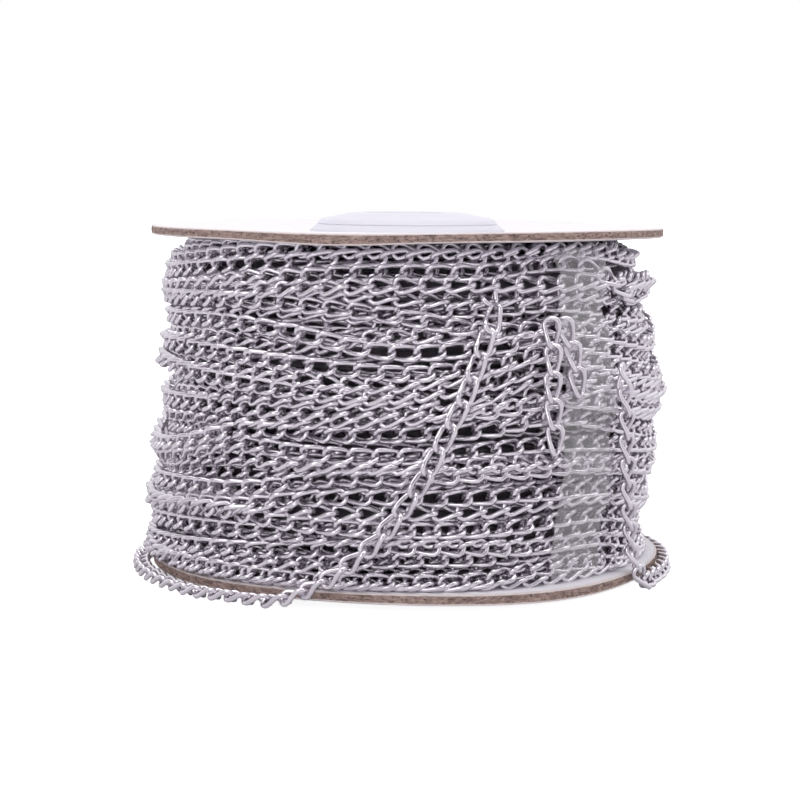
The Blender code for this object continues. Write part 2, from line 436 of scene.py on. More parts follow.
def sightOn(pixel, radius):
    # azimuth and height where the sight line through a pixel meets a cylinder round the reel's axis
    middle = viewpoint["imagePixels"] / 2
    ray = cameraTurn @ Vector((pixel[0] - middle, middle - pixel[1], -viewpoint["focalPixels"]))
    ray.normalize()
    start = viewpoint["place"]
    a = ray.x ** 2 + ray.y ** 2
    b = start.x * ray.x + start.y * ray.y
    c = start.x ** 2 + start.y ** 2 - radius ** 2
    reach = (-b - math.sqrt(max(b * b - a * c, 0.0))) / a
    hit = start + ray * reach
    return math.degrees(math.atan2(hit.x, -hit.y)), hit.z


def onCylinder(azimuth, radius, height):
    angle = math.radians(azimuth)
    return Vector((radius * math.sin(angle), -radius * math.cos(angle), height))


# The outer turns. Each line is read across the front from left to right, as pixels of the
# picture; "over" says how late the turn was wound, so a higher one rides over a lower one.
# "roll" tips the links about the strand, 0 with the flat side out, given at pixel columns.
# A turn whose name ends in Edge stands on edge at the left, and lies deeper there.

outerTurns = {
    "lidDeep": {"over": 0, "roll": [(150, 30)], "line": [
        (160, 253), (185, 250), (215, 246), (250, 243), (300, 244), (400, 246), (500, 246), (600, 248),
        (650, 251)]},
    "lidSecond": {"over": 4, "roll": [(180, 20), (300, 50)], "line": [
        (162, 261), (180, 258), (205, 255), (235, 252), (270, 251), (300, 251), (350, 249), (430, 248),
        (500, 248), (560, 247), (620, 252), (650, 258)]},
    "rowOne": {"over": 5, "roll": [(180, 15), (300, 5)], "line": [
        (160, 271), (180, 268), (205, 267), (235, 264), (270, 263), (300, 261), (330, 259), (380, 259),
        (430, 259), (485, 259), (510, 259), (535, 257), (560, 253), (590, 251), (628, 253), (655, 262)]},
    "rowTwo": {"over": 9, "roll": [(170, 55), (265, 55), (300, 5)], "line": [
        (155, 284), (178, 281), (205, 280), (235, 277), (265, 277), (290, 279), (325, 275), (350, 274),
        (400, 273), (460, 274), (485, 274), (510, 272), (535, 268), (560, 264), (590, 263), (605, 268),
        (620, 282), (630, 293), (655, 302)]},
    "rowTwoDeep": {"over": 3, "roll": [(170, 55), (300, 60), (500, 50)], "line": [
        (155, 290), (178, 287), (215, 284), (245, 287), (268, 290), (300, 292), (335, 294), (365, 297),
        (390, 299), (412, 301), (440, 303), (470, 302), (500, 300), (530, 300), (550, 297), (580, 294),
        (603, 294), (650, 304)]},
    "rowTwoUnder": {"over": 4, "roll": [(170, 40)], "line": [
        (160, 292), (250, 290), (350, 287), (450, 285), (510, 284), (535, 285), (555, 286), (600, 281),
        (650, 281)]},
    "rowThree": {"over": 8, "roll": [(170, 5)], "line": [
        (150, 293), (178, 297), (200, 298), (240, 300), (270, 303), (300, 306), (325, 309), (350, 312),
        (370, 314), (395, 317), (420, 321), (440, 325), (465, 329), (490, 332), (510, 333), (530, 331),
        (550, 327), (575, 328), (600, 331), (615, 335), (655, 346)]},
    "rowThreeEdge": {"over": 4, "roll": [(170, 60), (330, 40), (420, 8)], "line": [
        (155, 308), (185, 309), (250, 309), (300, 313), (360, 318), (400, 314), (430, 311), (455, 313),
        (480, 311), (505, 310), (533, 308), (557, 303), (600, 307), (655, 318)]},
    "rowFourUnder": {"over": 1, "roll": [(170, 30), (300, 0), (380, 50)], "line": [
        (155, 326), (250, 329), (305, 328), (325, 329), (345, 330), (362, 328), (385, 331), (410, 330),
        (430, 329), (465, 326), (520, 323), (545, 315), (560, 314), (600, 318), (655, 330)]},
    "rowFour": {"over": 7, "roll": [(170, 5)], "line": [
        (150, 313), (178, 318), (200, 320), (230, 323), (260, 328), (290, 333), (310, 338), (330, 343),
        (350, 347), (370, 351), (390, 354), (410, 355), (440, 353), (465, 350), (490, 350), (515, 345),
        (545, 335), (575, 340), (610, 350), (655, 360)]},
    "rowFiveEdge": {"over": 3, "roll": [(170, 58)], "line": [
        (150, 332), (178, 334), (200, 336), (215, 338), (245, 342), (275, 346), (300, 348), (325, 348),
        (345, 344), (365, 338), (385, 339), (410, 338), (430, 336), (470, 338), (520, 340), (560, 350),
        (610, 362), (655, 370)]},
    "rowSix": {"over": 8, "roll": [(160, 0)], "line": [
        (140, 334), (160, 340), (180, 346), (200, 351), (220, 354), (245, 358), (270, 362), (290, 364),
        (320, 368), (345, 371), (370, 373), (395, 375), (420, 376), (455, 370), (505, 366), (525, 358),
        (545, 349), (580, 358), (620, 368), (655, 376)]},
    "rowSixEdge": {"over": 4, "roll": [(160, 55)], "line": [
        (150, 356), (175, 362), (205, 365), (235, 368), (262, 372), (285, 376), (305, 380), (333, 385),
        (358, 387), (386, 387), (412, 385), (440, 380), (485, 377), (525, 357), (550, 352), (600, 372),
        (655, 384)]},
    "rowSeven": {"over": 6, "roll": [(160, 5), (300, 20), (430, 50), (560, 20)], "line": [
        (140, 349), (160, 357), (178, 367), (190, 372), (205, 377), (220, 380), (240, 383), (262, 387),
        (285, 391), (325, 394), (350, 397), (378, 398), (405, 396), (450, 390), (490, 385), (522, 374),
        (545, 364), (580, 376), (620, 388), (655, 392)]},
    "rowEightEdge": {"over": 4, "roll": [(160, 55)], "line": [
        (150, 390), (185, 393), (215, 395), (240, 397), (262, 399), (285, 400), (305, 402), (345, 404),
        (365, 404), (395, 403), (420, 402), (450, 403), (480, 400), (500, 393), (520, 383), (545, 374),
        (580, 384), (610, 392), (655, 398)]},
    "rowEight": {"over": 6, "roll": [(160, 10), (330, 40), (470, 5)], "line": [
        (150, 394), (175, 400), (190, 403), (205, 405), (220, 406), (240, 408), (260, 411), (290, 413),
        (310, 415), (350, 413), (420, 412), (470, 412), (505, 410), (535, 400), (560, 398), (600, 402),
        (655, 407)]},
    "rowNineEdge": {"over": 5, "roll": [(160, 60), (520, 40)], "line": [
        (150, 408), (180, 413), (205, 417), (230, 419), (280, 421), (330, 421), (358, 422), (385, 421),
        (412, 419), (440, 414), (480, 408), (510, 402), (540, 390), (580, 398), (620, 408), (655, 414)]},
    "rowNine": {"over": 2, "roll": [(160, 0), (300, 40)], "line": [
        (150, 421), (160, 424), (185, 428), (205, 432), (250, 436), (320, 428), (420, 424), (500, 420),
        (560, 418), (655, 424)]},
    "rowTen": {"over": 8, "roll": [(160, 5)], "line": [
        (140, 438), (165, 443), (185, 443), (200, 439), (215, 434), (240, 429), (265, 430), (290, 432),
        (315, 434), (345, 436), (370, 437), (395, 436), (420, 435), (480, 432), (505, 427), (530, 420),
        (550, 413), (590, 420), (655, 432)]},
    "rowEleven": {"over": 6, "roll": [(160, 60), (240, 50), (270, 5)], "line": [
        (150, 452), (180, 450), (215, 446), (240, 443), (258, 446), (275, 449), (290, 452), (310, 453),
        (335, 456), (360, 457), (385, 457), (410, 457), (445, 455), (470, 452), (495, 450), (520, 447),
        (540, 445), (600, 443), (655, 444)]},
    "rowTwelveUnder": {"over": 3, "roll": [(160, 5), (260, 50)], "line": [
        (145, 457), (165, 460), (200, 459), (230, 458), (245, 458), (262, 461), (285, 463), (330, 466),
        (400, 467), (500, 464), (600, 455), (655, 455)]},
    "rowTwelveDeep": {"over": 1, "roll": [(160, 30)], "line": [
        (150, 470), (190, 472), (230, 472), (300, 470), (400, 468), (500, 462), (600, 468), (655, 466)]},
    "rowThirteen": {"over": 7, "roll": [(160, 0)], "line": [
        (140, 468), (160, 476), (178, 481), (195, 485), (210, 487), (230, 488), (250, 488), (268, 487),
        (285, 484), (305, 481), (325, 478), (350, 477), (375, 477), (400, 477), (450, 476), (470, 473),
        (495, 471), (520, 470), (545, 468), (580, 464), (600, 461), (655, 468)]},
    "rowFourteenDeep": {"over": 1, "roll": [(160, 30), (430, 55)], "line": [
        (150, 484), (250, 492), (330, 489), (400, 488), (460, 487), (480, 486), (505, 484), (530, 483),
        (555, 482), (600, 478), (655, 480)]},
    "rowFourteen": {"over": 6, "roll": [(160, 40), (250, 10), (300, 0)], "line": [
        (150, 496), (200, 500), (250, 505), (270, 501), (290, 500), (310, 498), (330, 498), (350, 497),
        (375, 497), (395, 497), (440, 500), (465, 499), (490, 497), (515, 495), (545, 493), (600, 488),
        (655, 494)]},
    "rowFifteenEdge": {"over": 4, "roll": [(160, 55)], "line": [
        (150, 503), (200, 507), (250, 508), (290, 508), (312, 512), (335, 514), (357, 514), (380, 515),
        (415, 512), (435, 515), (460, 513), (485, 511), (510, 509), (535, 505), (558, 500), (600, 495),
        (655, 503)]},
    "rowSixteen": {"over": 8, "roll": [(160, 0)], "line": [
        (140, 487), (158, 494), (175, 501), (190, 504), (210, 506), (230, 509), (250, 513), (265, 517),
        (285, 522), (305, 525), (325, 526), (350, 528), (375, 530), (400, 531), (430, 531), (455, 531),
        (480, 530), (505, 529), (530, 526), (553, 521), (605, 513), (655, 515)]},
    "rowSeventeenUnder": {"over": 5, "roll": [(160, 0), (320, 30)], "line": [
        (140, 506), (158, 514), (175, 519), (190, 523), (210, 526), (230, 528), (250, 530), (270, 532),
        (290, 535), (320, 537), (345, 538), (400, 540), (500, 539), (600, 528), (655, 530)]},
    "rowSeventeen": {"over": 7, "roll": [(160, 0)], "line": [
        (140, 523), (155, 530), (165, 537), (180, 541), (198, 544), (215, 546), (235, 547), (260, 549),
        (290, 551), (315, 550), (340, 549), (400, 547), (430, 548), (480, 548), (505, 549), (530, 550),
        (550, 547), (580, 543), (610, 538), (655, 545)]},
    "rowEighteenEdge": {"over": 5, "roll": [(160, 50), (300, 50), (360, 5)], "line": [
        (150, 548), (200, 553), (230, 556), (250, 559), (270, 561), (290, 564), (312, 565), (385, 561),
        (410, 561), (440, 561), (470, 561), (500, 560), (530, 558), (555, 553), (600, 550), (655, 556)]},
    "footUnder": {"over": 0, "roll": [(160, 40)], "line": [
        (150, 556), (250, 566), (350, 571), (430, 572), (520, 571), (600, 560), (655, 562)]},
    "footRow": {"over": 7, "roll": [(160, 0)], "line": [
        (140, 543), (158, 550), (170, 556), (185, 560), (200, 563), (220, 566), (240, 570), (260, 573),
        (280, 577), (300, 580), (345, 581), (370, 582), (395, 582), (420, 583), (455, 584), (480, 582),
        (505, 577), (530, 572), (553, 569), (580, 565), (610, 562), (655, 565)]},
    "footDeep": {"over": 4, "roll": [(160, 30), (480, 75)], "line": [
        (150, 562), (250, 578), (350, 588), (430, 590), (495, 589), (520, 587), (545, 584), (565, 581),
        (590, 577), (655, 568)]},
}

winding = {
    "samples": 144,            # points round one turn
    "sightRadius": 0.0486,     # where the pixel lines are taken to lie
    "sightColumns": (161, 649),    # where that cylinder's sides stand in the picture
    "sightRow": 400,           # the row taken for what is given by column alone
    "frontReach": 84.0,        # azimuth to which the pixel lines hold
    "rollReach": 95.0,         # azimuth to which the rolls hold
    "rollFade": 30.0,          # over how many degrees they then give way to one for the back
    "backRolls": [4, 8, 15, 40, 55],
    "backAzimuths": (112, 140, 165, 195, 220, 248),
    "backWander": 0.0009,      # how far up or down a turn may stray at each of these
    "bridging": 1,             # samples to either side that a turn bridges
    "smoothing": 3,            # and that its height and radius are smoothed over
    "rollSmoothing": 4,
    # crest of the turns by height: at the left, at the right
    "crest": [(0.0060, 0.0508, 0.0466), (0.0093, 0.0508, 0.0460), (0.0127, 0.0508, 0.0470),
              (0.0161, 0.0508, 0.0480), (0.0194, 0.0500, 0.0486), (0.0228, 0.0493, 0.0493),
              (0.0262, 0.0503, 0.0500), (0.0295, 0.0490, 0.0488), (0.0329, 0.0483, 0.0494),
              (0.0363, 0.0478, 0.0504), (0.0397, 0.0490, 0.0497), (0.0430, 0.0486, 0.0480),
              (0.0464, 0.0476, 0.0494), (0.0498, 0.0471, 0.0483), (0.0531, 0.0470, 0.0436),
              (0.0565, 0.0476, 0.0494), (0.0599, 0.0472, 0.0456), (0.0632, 0.0460, 0.0438)],
    "outerSink": 0.0026,       # from the crest down to what an outer turn rests on
    "deepSink": 0.0044,        # the same for the turns wound before it
    "deepBelow": 4,            # those whose "over" is less than this
    "shySink": 0.0012,         # how much deeper the edge turns lie at the left
    "shyAzimuths": (-150, -120, -50, -30),     # starts, full from, full to, ends
    "give": 0.30,              # share kept of what would stand proud of the crest
    "slack": 0.66,             # share of a strand's height that bears on its neighbour
    "tilt": 24.0,              # how far a strand tips where it rides up on another
    "sagShare": 0.6,           # how much of the lower disc's sag the lowest turn follows
    "seed": 7,
    "perPiece": 11,            # turns joined in one mesh
    "linkSeed": 20,
}

# where the two boards have warped: how far up at most, round which azimuth, and how far to either side
warp = {
    "baseSinks": [(-0.0007, 36, 44), (-0.0005, -62, 50)],
    "basePlyHangs": [(-0.00035, 10, 50), (-0.00035, 44, 34), (-0.00035, -62, 50)],
    "lidDroops": [(-0.0003, -14, 34), (0.0002, 45, 40)],
    "lidPlySwells": [(-0.0004, -16, 24)],
}

azimuths = -180.0 + 360.0 * np.arange(winding["samples"]) / winding["samples"]
lowestTurn = reel["discTop"] + chain["width"] / 2
highestTurn = reel["lidFoot"] - chain["width"] / 2


def circularMean(values, reach):
    # weighted mean over the samples nearby, round the turn
    steps = range(-reach, reach + 1)
    weights = [1 + math.cos(math.pi * step / (reach + 1)) for step in steps]
    return sum(weight * np.roll(values, step) for weight, step in zip(weights, steps)) / sum(weights)


def circularPeak(values, reach):
    return np.max([np.roll(values, step) for step in range(-reach, reach + 1)], axis=0)


def halfSpans(roll):
    # half height and half depth of a strand tipped by a roll
    across, through = chain["width"] / 2, chain["thickness"] / 2
    tipped = np.radians(roll)
    height = np.hypot(across * np.cos(tipped), through * np.sin(tipped))
    depth = np.hypot(across * np.sin(tipped), through * np.cos(tipped))
    return height, depth


def hump(azimuth, middle, reach):
    away = abs((azimuth - middle + 180) % 360 - 180)
    return 0.5 + 0.5 * math.cos(math.pi * away / reach) if away < reach else 0.0


def warpAt(azimuth, name):
    return sum(most * hump(azimuth, middle, reach) for most, middle, reach in warp[name])


def planTurn(name, plan, home, chance):
    # height and roll of one turn all the way round
    reach = winding["frontReach"]
    first, last = winding["sightColumns"]
    columns, rows = zip(*plan["line"])
    columnsInSight = [first, *(column for column in columns if first < column < last), last]
    sights = [sightOn((column, np.interp(column, columns, rows)), winding["sightRadius"])
              for column in columnsInSight]
    knots = [(-reach, sights[0][1]), *sights, (reach, sights[-1][1])]
    for azimuth in winding["backAzimuths"]:
        wander = chance.uniform(-1, 1) * winding["backWander"]
        knots.append((azimuth, home + wander))
    places, heights = zip(*sorted(knots))
    height = circularMean(np.interp(azimuths, places, heights, period=360), winding["smoothing"])
    places, rolls = zip(*[(sightOn((column, winding["sightRow"]), winding["sightRadius"])[0], roll)
                          for column, roll in plan["roll"]])
    behind = np.clip((np.abs(azimuths) - winding["rollReach"]) / winding["rollFade"], 0, 1)
    roll = np.interp(azimuths, places, rolls) * (1 - behind) + behind * chance.choice(winding["backRolls"])
    roll = circularMean(roll, winding["rollSmoothing"])
    halfHeight, halfDepth = halfSpans(roll)
    sag = np.array([warpAt(azimuth, "baseSinks") for azimuth in azimuths])
    low = reel["discTop"] + sag * winding["sagShare"] + halfHeight
    return {"name": name, "over": plan["over"], "height": np.clip(height, low, highestTurn),
            "roll": roll, "halfHeight": halfHeight, "halfDepth": halfDepth}


def crestRadius(height, azimuth):
    heights, left, right = zip(*winding["crest"])
    share = 0.5 + 0.5 * np.sin(np.radians(azimuth))
    return np.interp(height, heights, left) * (1 - share) + np.interp(height, heights, right) * share


def bearing(turn, below):
    # how strongly a turn bears on one below it, and on which side
    reach = winding["slack"] * (turn["halfHeight"] + below["halfHeight"])
    offset = (turn["height"] - below["height"]) / reach
    share = np.sqrt(np.clip(1 - offset ** 2, 0, 1))
    lifted = below["radius"] + (turn["halfDepth"] + below["halfDepth"]) * share
    return np.where(share > 0, lifted, 0.0), share * np.sign(offset)


def settleTurns(turns):
    # lay the turns in the order they were wound, each on the ones below it
    laid = []
    atLeft = np.interp(azimuths, winding["shyAzimuths"], (0, 1, 1, 0))
    for turn in sorted(turns, key=lambda turn: turn["over"]):
        sink = winding["deepSink" if turn["over"] < winding["deepBelow"] else "outerSink"]
        crest = crestRadius(turn["height"], azimuths) - turn["halfDepth"]
        shy = winding["shySink"] * atLeft if turn["name"].endswith("Edge") else 0.0
        seat = crest - sink - shy + 2 * turn["halfDepth"]
        tip = np.zeros_like(seat)
        for below in laid:
            lifted, side = bearing(turn, below)
            tip = np.where(lifted > seat, side, tip)
            seat = np.maximum(seat, lifted)
        seat = np.where(seat > crest, crest + (seat - crest) * winding["give"], seat)
        turn["radius"] = circularMean(circularPeak(seat, winding["bridging"]), winding["smoothing"])
        turn["roll"] = turn["roll"] + winding["tilt"] * circularMean(tip, winding["smoothing"])
        laid.append(turn)
    return laid


def facing(radial, along, roll):
    # the way a strand's flat side looks, tipped about the strand
    outward = (radial - along * radial.dot(along)).normalized()
    return Matrix.Rotation(-math.radians(roll), 3, along) @ outward


def addRoute(bm, layer, route, closed):
    # one polyline; each vert keeps the way its link's flat side looks
    count = len(route)
    verts = []
    for i, (point, radial, roll) in enumerate(route):
        after = route[(i + 1) % count][0] if closed else route[min(i + 1, count - 1)][0]
        before = route[i - 1][0] if closed else route[max(i - 1, 0)][0]
        vert = bm.verts.new(point)
        vert[layer] = facing(radial, (after - before).normalized(), roll)
        verts.append(vert)
    for first, second in zip(verts, verts[1:]):
        bm.edges.new((first, second))
    if closed:
        bm.edges.new((verts[-1], verts[0]))


def routeMesh(name, routes, closed):
    # routes: lists of (point, radial direction, roll)
    bm = bmesh.new()
    layer = bm.verts.layers.float_vector.new("outward")
    for route in routes:
        addRoute(bm, layer, route, closed)
    return pieceFrom(name, bm)


def strandRoute(points):
    # what routeMesh takes, from (azimuth, radius, height, roll) points
    return [(onCylinder(azimuth, radius, height), onCylinder(azimuth, 1.0, 0.0), roll)
            for azimuth, radius, height, roll in points]


def turnRoute(turn):
    return strandRoute(zip(azimuths, turn["radius"], turn["height"], turn["roll"]))


# Geometry Nodes that set curb links along a route

def linkShape(make, given):
    # one link: a rounded rectangle of wire, wrung about its long axis
    pitch, width, wire, twist, pressed = (
        given.also(name) for name in ("Pitch", "Link width", "Wire", "Twist", "Pressed"))
    length = pitch + wire
    across = width - wire
    outline = make.node("GeometryNodeCurvePrimitiveQuadrilateral", {"mode": "RECTANGLE"},
                        {"Width": length, "Height": across})
    outline = make.node("GeometryNodeFilletCurve", {"mode": "POLY"}, {
        "Curve": outline, "Count": chain["cornerPoints"], "Radius": across * chain["cornerShare"]})
    outline = make.node("GeometryNodeResampleCurve", {"mode": "COUNT"},
                        {"Curve": outline, "Count": given.also("Points round link")})
    x = make.node("ShaderNodeSeparateXYZ", sockets={"Vector": make.node("GeometryNodeInputPosition")})
    y = x.also("Y")
    wrung = (x * math.pi / length).maths("SINE") * twist
    narrowed = 1 - (1 - wrung.maths("COSINE")) * (1 - pressed)
    wrungPlace = make.node("ShaderNodeCombineXYZ", sockets={
        "X": x, "Y": y * narrowed, "Z": y * wrung.maths("SINE") * -1.0})
    outline = make.node("GeometryNodeSetPosition", sockets={"Geometry": outline, "Position": wrungPlace})
    section = make.node("GeometryNodeCurvePrimitiveCircle", sockets={
        "Resolution": given.also("Wire sides"), "Radius": wire * 0.5})
    link = make.node("GeometryNodeCurveToMesh", sockets={"Curve": outline, "Profile Curve": section})
    return make.node("GeometryNodeSetShadeSmooth", sockets={"Geometry": link})


def linkAims(make, given):
    # each link's long axis follows the strand and its flat side looks outward, shaken a little
    outward = make.node("GeometryNodeInputNamedAttribute", {"data_type": "FLOAT_VECTOR"}, {"Name": "outward"})
    aim = make.node("FunctionNodeAxesToRotation", {"primary_axis": "X", "secondary_axis": "Z"}, {
        "Primary Axis": make.node("GeometryNodeInputTangent"), "Secondary Axis": outward})
    shake = make.node("FunctionNodeRandomValue", {"data_type": "FLOAT_VECTOR"}, {
        "Min": -chain["shake"], "Max": chain["shake"], "Seed": given.also("Seed")})
    shake = make.node("FunctionNodeEulerToRotation", sockets={"Euler": shake})
    return make.node("FunctionNodeRotateRotation", {"rotation_space": "LOCAL"},
                     {"Rotation": aim, "Rotate By": shake})


def chainTree():
    # one link every pitch along the route, or one at each of its points
    tree = bpy.data.node_groups.new("linksAlongRoute", "GeometryNodeTree")
    make = TreeMaker(tree)
    make.takes("Route", "NodeSocketGeometry")
    for name in ("Pitch", "Link width", "Wire", "Twist", "Pressed"):
        make.takes(name, "NodeSocketFloat")
    for name in ("Points round link", "Wire sides", "Seed"):
        make.takes(name, "NodeSocketInt")
    make.takes("Spaced already", "NodeSocketBool")
    make.takes("Finish", "NodeSocketMaterial")
    tree.interface.new_socket(name="Chain", in_out="OUTPUT", socket_type="NodeSocketGeometry")
    given = make.node("NodeGroupInput", out="Route")
    drawn = make.node("GeometryNodeMeshToCurve", sockets={"Mesh": given})
    strand = make.node("GeometryNodeResampleCurve", {"mode": "LENGTH"},
                       {"Curve": drawn, "Length": given.also("Pitch")})
    strand = make.node("GeometryNodeSwitch", {"input_type": "GEOMETRY"}, {
        "Switch": given.also("Spaced already"), "False": strand, "True": drawn})
    links = make.node("GeometryNodeInstanceOnPoints", sockets={
        "Points": strand, "Instance": linkShape(make, given), "Rotation": linkAims(make, given)})
    tone = make.node("FunctionNodeRandomValue", {"data_type": "FLOAT"}, {"Seed": given.also("Seed") + 1})
    links = make.node("GeometryNodeStoreNamedAttribute", {"data_type": "FLOAT", "domain": "INSTANCE"}, {
        "Geometry": links, "Name": "linkTone", "Value": tone})
    links = make.node("GeometryNodeRealizeInstances", sockets={"Geometry": links})
    links = make.node("GeometryNodeSetMaterial", sockets={
        "Geometry": links, "Material": given.also("Finish")})
    make.node("NodeGroupOutput", sockets={"Chain": links})
    return tree


linksAlongRoute = chainTree()
steelWire = wireFinish()


def linkUp(piece, seed, points=16, sides=6, spaced=False, **sizes):
    # turn a route into links, as a plain mesh with no modifier left
    size = {**chain, **sizes}
    inputs = {
        "Pitch": size["pitch"], "Link width": size["width"], "Wire": size["wire"],
        "Twist": math.radians(size["twist"]), "Pressed": size["pressed"],
        "Points round link": points, "Wire sides": sides, "Seed": seed,
        "Spaced already": spaced, "Finish": steelWire,
    }
    modifier = piece.modifiers.new("links", "NODES")
    modifier.node_group = linksAlongRoute
    for item in linksAlongRoute.interface.items_tree:
        if item.name in inputs:
            modifier[item.identifier] = inputs[item.name]
    graph = bpy.context.evaluated_depsgraph_get()
    made = bpy.data.meshes.new_from_object(piece.evaluated_get(graph))
    piece.modifiers.clear()
    piece.data = made
    return piece


def windOuterTurns():
    chance = random.Random(winding["seed"])
    names = list(outerTurns)
    turns = []
    for i, name in enumerate(names):
        home = highestTurn - (highestTurn - lowestTurn) * i / (len(names) - 1)
        turns.append(planTurn(name, outerTurns[name], home, chance))
    return sorted(settleTurns(turns), key=lambda turn: names.index(turn["name"]))


settledTurns = windOuterTurns()
radii = np.array([turn["radius"] for turn in settledTurns])
print("outer turns", len(settledTurns), "middles from", radii.min().round(5), "to", radii.max().round(5))


def makeOuterTurns():
    made = []
    step = winding["perPiece"]
    for start in range(0, len(settledTurns), step):
        routes = [turnRoute(turn) for turn in settledTurns[start:start + step]]
        piece = routeMesh(f"outer_turns_{start // step + 1}", routes, closed=True)
        made.append(linkUp(piece, winding["linkSeed"] + start))
    return made


# the layer under the outer turns, with plainer links
underTurns = {
    "count": 21,
    "sink": 0.0040,            # from the crest down to the middle of these turns
    "pitch": 0.0046,
    "sway": 0.0004,
    "waves": [2, 3],
    "roll": 25.0,
    "linkSeed": 90,
}


def makeUnderTurns():
    chance = random.Random(winding["seed"] + 1)
    count = underTurns["count"]
    routes = []
    for i in range(count):
        middle = lowestTurn + (highestTurn - lowestTurn) * i / (count - 1)
        phase = chance.uniform(0, math.tau)
        sway = underTurns["sway"] * np.sin(np.radians(azimuths) * chance.choice(underTurns["waves"]) + phase)
        height = np.clip(middle + sway, lowestTurn, highestTurn)
        radius = crestRadius(height, azimuths) - underTurns["sink"]
        roll = np.full(len(azimuths), chance.uniform(-underTurns["roll"], underTurns["roll"]))
        routes.append(turnRoute({"radius": radius, "height": height, "roll": roll}))
    piece = routeMesh("under_turns", routes, closed=True)
    return linkUp(piece, underTurns["linkSeed"], pitch=underTurns["pitch"], **plainLinks)


def solidOfRings(name, bm, rings, material):
    # a solid that goes round the reel's axis, from its closed outline at each step
    for ring, after in zip(rings, rings[1:] + rings[:1]):
        for i in range(len(ring)):
            j = (i + 1) % len(ring)
            bm.faces.new((ring[i], ring[j], after[j], after[i]))
    bmesh.ops.recalc_face_normals(bm, faces=bm.faces)
    piece = pieceFrom(name, bm, material)
    piece.data.shade_smooth()
    piece.data.set_sharp_from_angle(angle=math.radians(reel["sharpFrom"]))
    return piece


def turnedPiece(name, outline, steps, material):
    # a closed outline of (radius, height), turned about the reel's axis
    bm = bmesh.new()
    rings = [[bm.verts.new(onCylinder(360 * step / steps, radius, height)) for radius, height in outline]
             for step in range(steps)]
    return solidOfRings(name, bm, rings, material)


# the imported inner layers, ribbed by their turns
core = {
    "sink": 0.0056,            # from the crest down to the middle of the ribs
    "ribs": 30,
    "ribSteps": 4,
    "ribDepth": 0.0005,
    "steps": 96,
}


def makeCore():
    foot = reel["discTop"] + reel["gap"]
    head = reel["lidFoot"] - reel["gap"]
    inner = reel["hubRadius"] + reel["gap"]
    steps = core["ribs"] * core["ribSteps"]
    outline = []
    for i in range(steps + 1):
        height = head - (head - foot) * i / steps
        rib = core["ribDepth"] * math.cos(math.tau * i / core["ribSteps"])
        outline.append((float(crestRadius(height, 0)) - core["sink"] + rib, height))
    outline += [(inner, foot), (inner, head - reel["lidDish"])]
    # its finish is painted shade: the inner layers are coloured dark for the shade deep in the winding
    return turnedPiece("inner_winding", outline, core["steps"], shadowFinish())


outerPieces = makeOuterTurns()
underPiece = makeUnderTurns()
corePiece = makeCore()
print("winding made")


def surfaceUnder(azimuth, height, halfHeight):
    # radius of the turns' crests under a strand of that half height
    sample = int(math.floor((azimuth + 180.0) / 360.0 * winding["samples"])) % winding["samples"]
    crest = 0.0
    for turn in settledTurns:
        reach = winding["slack"] * (halfHeight + turn["halfHeight"][sample])
        offset = (height - turn["height"][sample]) / reach
        if abs(offset) < 1:
            proud = turn["halfDepth"][sample] * math.sqrt(1 - offset ** 2)
            crest = max(crest, turn["radius"][sample] + proud)
    return crest


def smoothLine(points, spacing, runBetween):
    # a smooth curve through the points, in even steps; each point's slope follows its neighbours
    padded = [points[0], *points, points[-1]]
    line = []
    for before, start, end, after in zip(padded, padded[1:], padded[2:], padded[3:]):
        steps = max(1, round(runBetween(start, end) / spacing))
        for step in range(steps):
            t = step / steps
            line.append(0.5 * (
                2 * start
                + (end - before) * t
                + (2 * before - 5 * start + 4 * end - after) * t ** 2
                + (3 * start - before - 3 * end + after) * t ** 3
            ))
    line.append(points[-1])
    return line


def pixelRun(start, end):
    return (end - start).length


def strandRun(start, end):
    # between two (azimuth, radius, height, roll) points
    return (onCylinder(*end[:3]) - onCylinder(*start[:3])).length


def spaceOut(points, spacingAt):
    # the places of single links along a finely drawn strand
    places = [points[0]]
    due = spacingAt(points[0])
    for start, end in zip(points, points[1:]):
        run = strandRun(start, end)
        while due <= run:
            place = start.lerp(end, due / run)
            places.append(place)
            due += spacingAt(place)
        due -= run
    return places


# How a strand is laid over the winding
laying = {
    "pixelStep": 8.0,
    "rounds": 3,               # the radius and the sight line on it are worked out in turn
    "feelAt": (-2, 0, 2),      # degrees to either side at which it feels for the turns below
    "reach": 2,                # steps to either side that it bridges and is smoothed over
    "fineStep": 0.0005,
}


def nearby(values, i):
    return values[max(i - laying["reach"], 0):i + laying["reach"] + 1]


def layOver(pixels, radius, lift, roll=0.0):
    # a line of pixels laid on the crests of the winding below it, drawn smooth like a slack strand
    line = smoothLine([Vector(pixel) for pixel in pixels], laying["pixelStep"], pixelRun)
    radii = [radius] * len(line)
    for _ in range(laying["rounds"]):
        sights = [sightOn(pixel, reached) for pixel, reached in zip(line, radii)]
        crests = [max(surfaceUnder(azimuth + aside, height, chain["width"] / 2) for aside in laying["feelAt"])
                  for azimuth, height in sights]
        peaks = [max(nearby(crests, i)) for i in range(len(crests))]
        radii = [sum(nearby(peaks, i)) / len(nearby(peaks, i)) + lift for i in range(len(peaks))]
    return [(azimuth, reached, height, roll) for (azimuth, height), reached in zip(sights, radii)]


